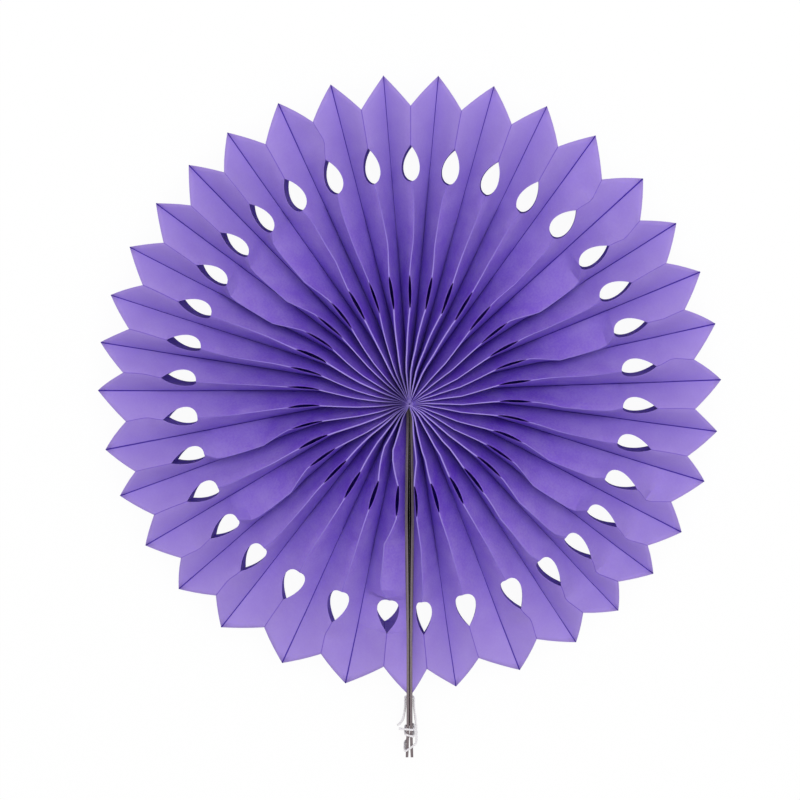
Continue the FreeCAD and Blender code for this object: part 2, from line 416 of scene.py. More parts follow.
        front = add(
            "ShaderNodeBsdfPrincipled",
            values={"Roughness": self.roughness, "Specular IOR Level": self.gloss},
            links={"Base Color": colour.outputs[COLOUR], "Normal": rough_fibres.outputs["Normal"]},
        )
        through = add("ShaderNodeBsdfTranslucent", values={"Color": srgb(self.shine_through)})
        paper = add(
            "ShaderNodeMixShader",
            values={0: self.through_share},
            links={1: front.outputs["BSDF"], 2: through.outputs["BSDF"]},
        )
        add("ShaderNodeOutputMaterial", links={"Surface": paper.outputs["Shader"]})
        return material


@dataclass(frozen=True)
class GreyboardFinish:
    """Grey recycled board, die cut, with its brown-grey plies showing along the cut edge."""

    name: str = "die_cut_greyboard"
    face: str = "#8C8083"
    ply: str = "#544A4C"
    ply_mm: float = 2.2
    speck_mm: float = 1.2
    speck_mix: float = 0.6
    speck_relief_mm: float = 0.1
    roughness: float = 0.9
    gloss: float = 0.2

    def build(self) -> bpy.types.Material:
        """Makes the material: plies stacked across the board's thickness, with specks of waste fibre.

        Returns:
            The finished material.
        """
        # The eye sees a dull dark edge with faint lines along it and paler specks. Real plies are a few tenths
        # of a millimetre thick, which is too fine to show, so they are drawn wider.
        material, add = new_material(self.name)
        place = add("ShaderNodeTexCoord")
        plies = add(
            "ShaderNodeTexWave",
            {"wave_type": "BANDS", "bands_direction": "X"},
            {"Scale": 1000.0 / (self.ply_mm * BAND_WAVES), "Distortion": 1.5, "Detail": 2.0},
            {"Vector": place.outputs["Object"]},
        )
        specks = add(
            "ShaderNodeTexNoise",
            values={"Scale": 1000.0 / self.speck_mm, "Detail": 4.0},
            links={"Vector": place.outputs["Object"]},
        )
        mixed = add(
            "ShaderNodeMix",
            {"data_type": "FLOAT"},
            {"Factor": self.speck_mix},
            {"A": plies.outputs["Fac"], "B": specks.outputs["Fac"]},
        )
        colour = add(
            "ShaderNodeMix",
            {"data_type": "RGBA"},
            {"A": srgb(self.ply), "B": srgb(self.face)},
            {"Factor": mixed.outputs["Result"]},
        )
        bump = add(
            "ShaderNodeBump",
            values={"Strength": 0.4, "Distance": self.speck_relief_mm * MM},
            links={"Height": specks.outputs["Fac"]},
        )
        board = add(
            "ShaderNodeBsdfPrincipled",
            values={"Roughness": self.roughness, "Specular IOR Level": self.gloss},
            links={"Base Color": colour.outputs[COLOUR], "Normal": bump.outputs["Normal"]},
        )
        add("ShaderNodeOutputMaterial", links={"Surface": board.outputs["BSDF"]})
        return material


@dataclass(frozen=True)
class ThreadFinish:
    """White spun cotton thread, loosely twisted."""

    name: str = "twisted_cotton_thread"
    fibre: str = "#F4F2F0"
    shade: str = "#D8D4DC"
    fibre_mm: float = 0.3
    fibre_relief_mm: float = 0.1
    roughness: float = 0.9
    fluff: float = 0.3

    def build(self) -> bpy.types.Material:
        """Makes the material: pale cotton with fine fibres.

        Returns:
            The finished material.
        """
        # The eye sees a matt, slightly furry white with grey between the fibres.
        material, add = new_material(self.name)
        place = add("ShaderNodeTexCoord")
        fibres = add(
            "ShaderNodeTexNoise",
            values={"Scale": 1000.0 / self.fibre_mm, "Detail": 3.0},
            links={"Vector": place.outputs["Object"]},
        )
        colour = add(
            "ShaderNodeMix",
            {"data_type": "RGBA"},
            {"A": srgb(self.shade), "B": srgb(self.fibre)},
            {"Factor": fibres.outputs["Fac"]},
        )
        bump = add(
            "ShaderNodeBump",
            values={"Strength": 0.5, "Distance": self.fibre_relief_mm * MM},
            links={"Height": fibres.outputs["Fac"]},
        )
        cotton = add(
            "ShaderNodeBsdfPrincipled",
            values={"Roughness": self.roughness, "Sheen Weight": self.fluff},
            links={"Base Color": colour.outputs[COLOUR], "Normal": bump.outputs["Normal"]},
        )
        add("ShaderNodeOutputMaterial", links={"Surface": cotton.outputs["BSDF"]})
        return material


@dataclass(frozen=True)
class RibLayout:
    """Where the fan's middle surface and its two boards stand, in millimetres, as in the frame.

    The scene's boards are closer together at their ends than the frame's, and meet along their back edges.
    """

    hub_height: float = 29.43
    rim_drop: float = 10.0
    tip_radius: float = 200.0
    hub_hole: float = 1.0
    start_radius: float = 10.0
    end_radius: float = 245.0
    thickness: float = 1.7
    half_width: float = 7.0
    hub_gap: float = 0.3
    bow_gap: float = 1.5
    touch_radius: float = 160.0
    first_turn_radius: float = 225.5
    end_gap: float = 1.4
    shut: float = 0.03
    frame_end_gap: float = 2.4
    flare: float = 0.35

    def middle_height(self, radius: float) -> float:
        """Gives the height of the fan's middle surface at one radius."""
        return self.hub_height - self.rim_drop * radius / self.tip_radius

    def outer_face(self, radius: float) -> float:
        """Gives the distance from the fan's middle line to a rib's outer face.

        Args:
            radius: Distance from the hub, in millimetres.

        Returns:
            The distance, in millimetres.
        """
        if radius < self.start_radius:
            full = self.hub_gap / 2 + self.thickness
            return self.shut + (full - self.shut) * smooth_step(self.hub_hole, self.start_radius, radius)
        return self.gap(radius) / 2 + self.thickness

    def gap(self, radius: float) -> float:
        """Gives the gap between the two boards.

        Args:
            radius: Distance from the hub, in millimetres.

        Returns:
            The gap, in millimetres.
        """
        gap = self.hub_gap
        if radius <= self.touch_radius:
            reach = (radius - self.start_radius) / (self.touch_radius - self.start_radius)
            gap += (self.bow_gap - self.hub_gap) * math.sin(math.pi * max(reach, 0.0))
        elif radius > self.first_turn_radius:
            reach = (radius - self.first_turn_radius) / (self.end_radius - self.first_turn_radius)
            gap += reach * (self.end_gap - self.hub_gap)
        return gap

    def outward(self, radius: float, share: float) -> float:
        """Gives how far a tipped board stands outside its upright place.

        Args:
            radius: Distance from the hub, in millimetres.
            share: From the board's back edge (0) to its front edge (1).

        Returns:
            The distance, in millimetres, less than 0 where the board leans inwards.
        """
        gap = self.gap(max(radius, self.start_radius))
        if radius > self.first_turn_radius:
            gap = self.hub_gap
        back = -gap / 2
        return back + (self.flare * gap - back) * share


@dataclass(frozen=True)
class CutOut:
    """A cut in each sheet's ridge edge, in millimetres, with a power for each end: 0.5 is round, 1 pointed."""

    start: float
    length: float
    depth: float
    hub_end: float
    rim_end: float
    rows: int

    def depth_at(self, radius: float) -> float:
        """Gives how deep the cut is at one radius.

        Args:
            radius: Distance from the hub, in millimetres.

        Returns:
            The depth from the ridge edge, in millimetres, or 0 outside the cut.
        """
        share = (radius - self.start) / self.length
        if share <= TINY or share >= 1 - TINY:
            return 0.0
        widest = self.hub_end / (self.hub_end + self.rim_end)
        full = widest**self.hub_end * (1 - widest) ** self.rim_end
        return self.depth * share**self.hub_end * (1 - share) ** self.rim_end / full

    def radii(self) -> list[float]:
        """Lists the rows of the cut, closer together at its ends."""
        turns = [math.pi * k / self.rows for k in range(self.rows + 1)]
        return [self.start + self.length * (1 - math.cos(turn)) / 2 for turn in turns]


# How far each petal is opened, in degrees, from the right rib round to the left one
PETAL_OPENINGS = (
    8.3, 12.5, 11.9, 10.0, 9.6, 9.5, 10.5, 9.7, 9.7, 10.5, 10.0, 10.0,
    10.2, 11.7, 10.3, 10.2, 10.2, 9.9, 9.6, 10.1, 10.6, 9.2, 9.2, 9.4,
    9.5, 9.0, 9.0, 11.2, 9.1, 10.5, 10.4, 10.8, 13.4, 12.6, 11.7,
)

# How far each petal's ridge leans over between its slit and its hole, in degrees round the fan
PETAL_FLAPS = (
    1.0, 0.6, 0.1, -1.9, -2.5, -3.9, -2.3, -0.6, -1.3, 0.2, -4.1, -1.1,
    -5.0, -1.5, 0.5, 0.0, 0.9, -0.9, -1.0, 0.4, -1.3, 2.7, 3.2, 3.7,
    -0.4, 0.0, 0.0, 0.0, 3.6, 0.8, 4.3, 0.7, -0.4, -0.2, -4.2,
)

# The same between its hole and its notch
PETAL_RIM_FLAPS = (
    0.0, 0.0, 0.8, -1.3, -2.0, -1.5, -2.3, 0.0, 0.0, 0.9, -0.5, 0.0,
    -1.2, -1.4, 0.0, 0.0, 0.0, 0.0, 0.0, -1.0, 0.0, 0.0, 0.0, 0.0,
    0.0, 0.0, -0.2, -0.5, 0.0, 0.0, 0.7, -0.4, 0.0, -0.5, 0.0,
)

# Where the leans inside the slits are read, and how they fade outwards, by radius in millimetres
HUB_LEAN_RADII = (33.0, 20.0)
HUB_LEAN_FADE = ((40.0, 0.72), (50.0, 0.3), (58.0, 0.0))

# How far each petal's ridge leans over at those two radii, in degrees round the fan
PETAL_HUB_LEANS = (
    (-0.8, -2.2), (-3.9, -4.4), (-0.9, -0.4), (-1.1, 0.8), (-1.2, -0.2), (-2.2, -0.2), (-2.1, -0.8),
    (-1.1, 0.8), (-2.2, -0.6), (-2.9, -1.2), (-2.6, -1.1), (-2.9, -1.7), (-1.4, 0.3), (-1.9, -0.4),
    (3.2, 6.9), (4.2, 8.2), (3.8, 7.7), (3.1, 6.1), (3.3, 6.3), (3.2, 5.3), (0.8, 2.1),
    (3.8, 4.4), (2.1, 2.3), (3.8, 3.8), (2.9, 2.7), (3.3, 4.2), (2.7, 2.9), (2.3, 2.5),
    (2.5, 3.2), (2.1, 2.7), (2.7, 3.2), (-2.5, -2.3), (-3.5, -3.8), (-7.2, -7.1), (-9.2, -9.2),
)

# How far the ridges near the ribs are drawn towards them at slit and hole, in millimetres
DRAWN_TO_RIBS = {
    0: (-3.2, -3.2),
    1: (-2.6, -2.8),
    2: (-2.6, -0.5),
    3: (-1.9, 0.0),
    4: (-0.7, 0.0),
    34: (1.3, 1.9),
}

# Where they are drawn: radius in millimetres, share of the shift at the slit, share of the shift at the hole
DRAWN_LINE = (
    (40.0, 0.0, 0.0),
    (56.0, 1.0, 0.0),
    (78.0, 1.0, 0.0),
    (110.0, 0.0, 1.0),
    (150.0, 0.0, 1.0),
    (210.0, 0.0, 0.5),
)

# Where along the sheet the outer leans come and go, by radius in millimetres
FLAP_LINE = ((79.0, 0.0), (97.0, 1.0), (128.0, 0.75), (135.5, 0.0))
RIM_FLAP_LINE = ((158.5, 0.0), (168.0, 1.0), (181.5, 0.0))

# The columns of a panel, from the ridge (0) over the edge of its pressed fold to the seam (1)
PANEL_SHARES = (0.0, 0.025, 0.3, 0.55, 0.8, 1.0)


@dataclass
class TissueBody:
    """All the tissue sheets, two to a petal, glued along seams and ridges. Sizes are in millimetres."""

    finish: TissueFinish
    ribs: RibLayout
    # Rows from the hub to the cut end, which bulges between notch and tip
    notch_radius: float = 181.5
    rim_bulge: float = 0.6
    hub_radius: float = 0.5
    hub_rows: tuple[float, ...] = (3.0, 6.0, 10.0, 15.0, 20.0, 26.0, 33.0, 40.0, 46.0, 52.0)
    middle_rows: tuple[float, ...] = (79.5, 84.0, 89.0, 93.5, 97.5, 103.0, 110.0, 117.0, 124.0, 129.0, 132.5)
    rim_rows: int = 8
    # Flat sheets, and where their glued edges lie against a seam's middle or a board
    sheet_half_width: float = 24.5
    seam_half: float = 0.8
    paper: float = 0.14
    glue_gap: float = -0.03
    board_gap: float = 0.05
    # Cut-outs, shallower in the back panel at the slit
    teardrop: CutOut = CutOut(135.2, 22.6, 10.0, 0.5, 0.95, 16)
    slit: CutOut = CutOut(56.8, 20.6, 3.0, 0.7, 0.75, 8)
    back_slit_share: float = 0.55
    # Pressed fold along each ridge, and how near a seam a ridge may come
    fold_half: tuple[float, float] = (0.3, 0.15)
    fold_radii: tuple[float, float] = (60.0, 90.0)
    fold_most: float = 0.3
    fold_drop: float = 0.15
    ridge_margin: float = 0.06
    # How far the front ridges hang down near the hub and at the fan's sides
    hub_sag: float = 3.4
    hub_sag_radii: tuple[float, float] = (12.0, 62.0)
    side_sag: float = 1.5
    side_sag_rise: tuple[float, float] = (80.0, 125.0)
    side_sag_fall: tuple[float, float] = (150.0, 178.0)
    # How the ridges wave and the panels bow outwards
    ridge_sway: float = 1.2
    sway_rise: tuple[float, float] = (20.0, 70.0)
    sway_fall: tuple[float, float] = (120.0, 160.0)
    sway_fall_share: float = 0.6
    sway_wave: float = 38.0
    panel_bow: float = 0.7
    bow_radii: tuple[float, float] = (30.0, 90.0)
    bow_base: float = 0.6
    bow_swing: float = 1.6
    bow_wave: float = 60.0
    # How the back ridges stand against the front ones, as the cut-outs show
    back_drift: tuple[float, float] = (1.5, -5.5)
    back_drift_swing: tuple[float, float] = (2.0, 3.5)
    back_drift_radii: tuple[float, float] = (30.0, 125.0)
    last_back_drift: float = -2.2
    back_slit_sway: float = 3.4
    back_slit_rise: tuple[float, float] = (35.0, 62.0)
    back_slit_fall: tuple[float, float] = (74.0, 110.0)
    back_drawn: float = 1.3
    back_drawn_radii: tuple[float, float] = (80.0, 125.0)
    back_rim_inset: float = 2.5
    back_rim_from: float = 0.6
    # Shift of the paper's pattern from petal to petal and sheet to sheet, in metres
    pattern_steps: tuple[float, float] = (0.43, 0.21)
    # Points closer than this are one, and folds sharper than this stay crisp
    merge: float = 0.002
    crease_degrees: float = 25.0

    def seam_angle(self, index: int, radius: float) -> float:
        """Gives the direction of a seam, with the first and last along the ribs' outer faces.

        Args:
            index: The seam's number, from 0 at the right rib.
            radius: Distance from the hub.

        Returns:
            The angle from +X, in radians.
        """
        rib_angle = math.asin(min(self.ribs.outer_face(radius) / radius, 1.0))
        share = sum(PETAL_OPENINGS[:index]) / sum(PETAL_OPENINGS)
        return -math.pi / 2 + rib_angle + (2 * math.pi - 2 * rib_angle) * share

    def seam_point(self, index: int, radius: float) -> Vector:
        """Gives the plan position of a seam at one radius."""
        angle = self.seam_angle(index, radius)
        return Vector((radius * math.cos(angle), radius * math.sin(angle), 0.0))

    def glue_half(self, index: int) -> float:
        """Gives half the height of the glued strip at a seam: a thin line, or a rib's width."""
        return self.ribs.half_width if index in (0, len(PETAL_OPENINGS)) else self.seam_half

    def section(self, petal: int, radius: float) -> tuple[Vector, Vector, float, float]:
        """Finds a petal's section at one radius from the fixed width of its sheets.

        Args:
            petal: The petal's number.
            radius: Distance from the hub.

        Returns:
            Its first seam, the direction to its last seam, the ridge's place along that, and its height.
        """
        first = self.seam_point(petal, radius)
        towards = self.seam_point(petal + 1, radius) - first
        width = towards.length
        low_first = self.glue_half(petal)
        low_last = self.glue_half(petal + 1)
        left = self.sheet_half_width - low_first
        right = self.sheet_half_width - low_last
        rise = low_last - low_first
        apart = math.hypot(width, rise)
        along = (apart**2 + left**2 - right**2) / (2 * apart)
        above = math.sqrt(max(left**2 - along**2, 0.0))
        across = (along * width - above * rise) / apart
        height = low_first + (along * rise + above * width) / apart
        return first, towards.normalized(), across, height

    def rim_radius(self, share: float) -> float:
        """Gives the sheet's cut end, from the notch at its ridge edge (0) to the tip at its seam (1)."""
        straight = self.notch_radius + (self.ribs.tip_radius - self.notch_radius) * share
        return straight + 4 * self.rim_bulge * share * (1 - share)

    def ridge_shift(self, petal: int, side: Side, radius: float) -> float:
        """Gives how far a petal's soft ridge stands to one side, in millimetres.

        Args:
            petal: The petal's number.
            side: Front, with the leans seen there, or back.
            radius: Distance from the hub.

        Returns:
            The shift round the fan, away from the right rib.
        """
        swell = 1 - self.sway_fall_share * smooth_step(*self.sway_fall, radius)
        swell *= smooth_step(*self.sway_rise, radius)
        shift = self.ridge_sway * swell * wave(radius / self.sway_wave, petal, 1.0)
        if side is Side.FRONT:
            lean = PETAL_FLAPS[petal] * read_line(FLAP_LINE, radius)
            lean += PETAL_RIM_FLAPS[petal] * read_line(RIM_FLAP_LINE, radius)
            shift += math.radians(lean) * radius
            at_slit, at_hole = DRAWN_TO_RIBS.get(petal, (0.0, 0.0))
            line = tuple((place, slit * at_slit + hole * at_hole) for place, slit, hole in DRAWN_LINE)
            shift += read_line(line, radius)
        return shift

    def hub_lean(self, petal: int, radius: float) -> float:
        """Gives how far a petal's front ridge leans over near the hub.

        Args:
            petal: The petal's number.
            radius: Distance from the hub.

        Returns:
            The shift round the fan, away from the right rib.
        """
        outer, inner = PETAL_HUB_LEANS[petal]
        at_outer, at_inner = HUB_LEAN_RADII
        fade = [(place, share * outer) for place, share in HUB_LEAN_FADE]
        line = ((0.0, inner), (at_inner, inner), (at_outer, outer), *fade)
        return math.radians(read_line(line, radius)) * radius

    def ridge(self, petal: int, side: Side, radius: float, width: float) -> tuple[float, float, float]:
        """Places a ridge in its petal's section: it sinks as it leans, since the sheets keep their width.

        Args:
            petal: The petal's number.
            side: Front or back of the fan.
            radius: Distance from the hub.
            width: Distance between the petal's seams.

        Returns:
            The ridge's distance from the first seam, its height and half the width of its pressed fold.
        """
        across, height = self.section(petal, radius)[2:]
        margin = self.ridge_margin * width
        place = min(max(across + self.ridge_shift(petal, side, radius), margin), width - margin)
        free = self.sheet_half_width - max(self.glue_half(petal), self.glue_half(petal + 1))
        near, far = self.fold_half
        wide = near + (far - near) * smooth_step(*self.fold_radii, radius)
        wide = min(wide, self.fold_most * min(place, width - place))
        if side is Side.FRONT:
            place += self.hub_lean(petal, radius)
        before = max(across, width - across)
        after = max(place, width - place)
        sink = math.sqrt(max(free**2 - before**2, 0.0)) - math.sqrt(max(free**2 - after**2, 0.0))
        return place, height - sink, wide

    def place(self, petal: int, flank: Flank, side: Side, radius: float, share: float) -> Vector:
        """Places one point of a sheet in the fan.

        Args:
            petal: The petal's number.
            flank: Which of its two sheets.
            side: Front or back of the fan.
            radius: Distance from the hub.
            share: From the ridge (0) to the glued strip at the seam (1).

        Returns:
            The point, in metres.
        """
        first, towards = self.section(petal, radius)[:2]
        width = (self.seam_point(petal + 1, radius) - first).length
        ridge = self.ridge(petal, side, radius, width)
        on_board = petal + flank.value in (0, len(PETAL_OPENINGS))
        gap = self.glue_gap / 2
        if on_board:
            gap = self.board_gap + self.ribs.outward(radius, (side.value + 1) / 2)
        if flank is Flank.FIRST:
            seam = (gap, self.glue_half(petal))
        else:
            seam = (width - gap, self.glue_half(petal + 1))
        outward = -1 if flank is Flank.FIRST else 1
        fold = (ridge[0] + outward * ridge[2], ridge[1] - self.fold_drop)
        fold_share = PANEL_SHARES[1]
        if share <= fold_share:
            start, end, reach = ridge, fold, share / fold_share
        else:
            start, end, reach = fold, seam, (share - fold_share) / (1 - fold_share)
        x = start[0] + (end[0] - start[0]) * reach
        y = start[1] + (end[1] - start[1]) * reach
        run = (seam[0] - ridge[0], seam[1] - ridge[1])
        length = math.hypot(*run)
        bow = self.panel_bow * smooth_step(*self.bow_radii, radius)
        unrest = wave(radius / self.bow_wave, petal * 2 + flank.value, 2.0 + side.value)
        bow *= self.bow_base + self.bow_swing * unrest
        swell = 4 * share * (1 - share) * bow
        x += outward * swell * abs(run[1]) / length
        y += swell * abs(run[0]) / length
        point = first + towards * x
        point.z = self.ribs.middle_height(radius) + y * side.value
        if side is Side.FRONT:
            sag = self.hub_sag * (1 - smooth_step(*self.hub_sag_radii, radius))
            swell = hump(self.side_sag_rise, self.side_sag_fall, radius)
            sag += self.side_sag * abs(first.normalized().x) * swell
            point.y -= sag * y / self.sheet_half_width
        else:
            point += self.back_shift(petal, radius) * (1 - share)
        return point * MM

    def back_shift(self, petal: int, radius: float) -> Vector:
        """Gives how far a petal's back ridge has shifted against its front ridge.

        Args:
            petal: The petal's number.
            radius: Distance from the hub.

        Returns:
            The shift in the fan's plane, in millimetres.
        """
        at_slit = hump(self.back_slit_rise, self.back_slit_fall, radius)
        outwards = smooth_step(*self.back_drift_radii, radius)
        if petal == len(PETAL_OPENINGS) - 1:
            return Vector((-self.back_slit_sway * at_slit, self.last_back_drift * outwards, 0.0))
        angle = (self.seam_angle(petal, radius) + self.seam_angle(petal + 1, radius)) / 2
        x = self.back_drift[0] + self.back_drift_swing[0] * math.cos(angle)
        y = self.back_drift[1] + self.back_drift_swing[1] * math.sin(angle)
        round_fan = Vector((-math.sin(angle), math.cos(angle), 0.0))
        sway = math.copysign(self.back_slit_sway, math.cos(angle)) * abs(math.sin(angle))
        drawn = self.back_drawn * DRAWN_TO_RIBS.get(petal, (0.0, 0.0))[1]
        drawn *= smooth_step(*self.back_drawn_radii, radius)
        return Vector((x, y, 0.0)) * outwards + round_fan * (sway * at_slit + drawn)

    def sheet_rows(self) -> list[tuple[float, float]]:
        """Lists the rows of a sheet from the hub to its cut end.

        Returns:
            A radius for each row, and the row's share of the stretch from the teardrop to the cut end.
        """
        radii = [self.hub_radius, *self.hub_rows, *self.slit.radii(), *self.middle_rows, *self.teardrop.radii()]
        last = self.teardrop.start + self.teardrop.length
        outer = [(last, (k + 1) / self.rim_rows) for k in range(self.rim_rows)]
        return [(radius, 0.0) for radius in radii] + outer

    def add_sheet(self, mesh: bmesh.types.BMesh, petal: int, flank: Flank) -> None:
        """Adds one sheet as a grid that runs from the front ridge over the seam to the back ridge.

        Args:
            mesh: The petal's mesh, which gets the sheet.
            petal: The petal's number.
            flank: Which of its two sheets.
        """
        rows = self.sheet_rows()
        panel_columns = len(PANEL_SHARES) - 1
        columns = 2 * panel_columns + 1
        grid = bmesh.ops.create_grid(mesh, x_segments=columns, y_segments=len(rows) - 1, size=1.0)
        uv_layer = mesh.loops.layers.uv.verify()
        free = self.sheet_half_width - self.glue_half(petal + flank.value)
        spots: dict[bmesh.types.BMVert, tuple[float, float]] = {}
        for vert in grid["verts"]:
            column = round((vert.co.x + 1) / 2 * columns)
            radius, to_rim = rows[round((vert.co.y + 1) / 2 * (len(rows) - 1))]
            side = Side.FRONT if column <= panel_columns else Side.BACK
            share = PANEL_SHARES[column if side is Side.FRONT else columns - column]
            if to_rim == 0.0:
                slit_share = 1.0 if side is Side.FRONT else self.back_slit_share
                cut = (slit_share * self.slit.depth_at(radius) + self.teardrop.depth_at(radius)) / free
                share = cut + (1 - cut) * share
            else:
                rim = self.rim_radius(share)
                if side is Side.BACK:
                    rim -= self.back_rim_inset * smooth_step(1.0, self.back_rim_from, share)
                radius += (rim - radius) * to_rim
            vert.co = self.place(petal, flank, side, radius, share)
            spots[vert] = (share * free * MM, radius * MM)
        own_stretch = petal * self.pattern_steps[0] + flank.value * self.pattern_steps[1]
        for face in {f for v in grid["verts"] for f in v.link_faces}:
            for loop in face.loops:
                across, along = spots[loop.vert]
                loop[uv_layer].uv = (across, along + own_stretch)

    def build(self) -> bpy.types.Object:
        """Builds every petal and joins them into one piece.

        Returns:
            The tissue piece, dressed and riding on the fan.
        """
        one_petal = bpy.data.meshes.new("one_petal")
        whole = bmesh.new()
        for petal in range(len(PETAL_OPENINGS)):
            one = bmesh.new()
            for flank in Flank:
                self.add_sheet(one, petal, flank)
            bmesh.ops.remove_doubles(one, verts=one.verts, dist=self.merge * MM)
            bmesh.ops.recalc_face_normals(one, faces=one.faces)
            one.to_mesh(one_petal)
            one.free()
            whole.from_mesh(one_petal)
        bpy.data.meshes.remove(one_petal)
        piece = add_piece("tissue_sheets", whole)
        body = piece.data
        body.uv_layers[0].name = "sheet"
        for polygon in body.polygons:
            polygon.use_smooth = True
        body.set_sharp_from_angle(angle=math.radians(self.crease_degrees))
        thickness = piece.modifiers.new("paper", "SOLIDIFY")
        thickness.thickness = self.paper * MM
        thickness.offset = -1.0
        body.materials.append(self.finish.build(self.sheet_half_width - self.seam_half))
        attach(piece, ROOT)
        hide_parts("tissue_body")
        log.info("tissue sheets: %d petals, %d faces", len(PETAL_OPENINGS), len(body.polygons))
        return piece


@dataclass
class Ribs:
    """The two greyboard ribs: the frame's boards, tipped until their back edges meet, with broken edges."""

    finish: GreyboardFinish
    # The inner faces get a near-black finish: painted shade in the narrow gap between the boards
    gap_painted_shade: GreyboardFinish
    layout: RibLayout
    edge_mm: float = 0.12
    edge_segments: int = 2
    merge_mm: float = 0.001
    flat_degrees: float = 0.02
    edge_degrees: float = 60.0
    inner_facing: float = 0.9

    def tip(self, mesh: bmesh.types.BMesh) -> None:
        """Leans a board inwards by its share of the gap at the back, so that no light comes through.

        Args:
            mesh: The board, in the fan's own place.
        """
        half = self.layout.half_width
        for vert in mesh.verts:
            radius = max(-vert.co.y / MM, self.layout.start_radius)
            height = vert.co.z / MM - self.layout.middle_height(radius)
            shift = self.layout.outward(radius, (height + half) / (2 * half))
            if radius > self.layout.first_turn_radius:
                reach = radius - self.layout.first_turn_radius
                reach /= self.layout.end_radius - self.layout.first_turn_radius
                shift -= reach * (self.layout.frame_end_gap - self.layout.end_gap) / 2
            vert.co.x += shift * MM * (1 if vert.co.x > 0 else -1)

    def build(self) -> None:
        """Makes both boards from the frame's, with softly broken edges."""
        materials = (self.finish.build(), self.gap_painted_shade.build())
        for name in ("left_rib", "right_rib"):
            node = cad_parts[name]
            mesh = bmesh.new()
            mesh.from_mesh(node.data)
            mesh.transform(node.matrix_world)
            flat, sharp = math.radians(self.flat_degrees), math.radians(self.edge_degrees)
            bmesh.ops.remove_doubles(mesh, verts=mesh.verts, dist=self.merge_mm * MM)
            bmesh.ops.dissolve_limit(mesh, angle_limit=flat, verts=mesh.verts, edges=mesh.edges)
            bmesh.ops.bevel(
                mesh,
                geom=[e for e in mesh.edges if e.is_manifold and e.calc_face_angle(0.0) > sharp],
                offset=self.edge_mm * MM,
                segments=self.edge_segments,
                profile=0.5,
                affect="EDGES",
                material=-1,
                clamp_overlap=True,
            )
            self.tip(mesh)
            piece = add_piece(name + "_board", mesh)
            for material in materials:
                piece.data.materials.append(material)
            # Faces that look into the gap between the boards take the second finish, which is painted shade
            for polygon in piece.data.polygons:
                towards_middle = polygon.normal.x * polygon.center.x < 0
                inner = towards_middle and abs(polygon.normal.x) > self.inner_facing
                polygon.material_index = 1 if inner else 0
            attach(piece, ROOT)
            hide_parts(name)
            log.info("%s: cut from greyboard, %d faces", name, len(piece.data.polygons))


@dataclass
class HubThread:
    """The thread that gathers the sheets near the hub, which keeps the frame's shape."""

    material: bpy.types.Material

    def build(self) -> None:
        """Dresses the thread ring."""
        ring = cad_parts["hub_thread"]
        ring.data.materials.clear()
        ring.data.materials.append(self.material)
        log.info("hub thread: dressed as cotton")


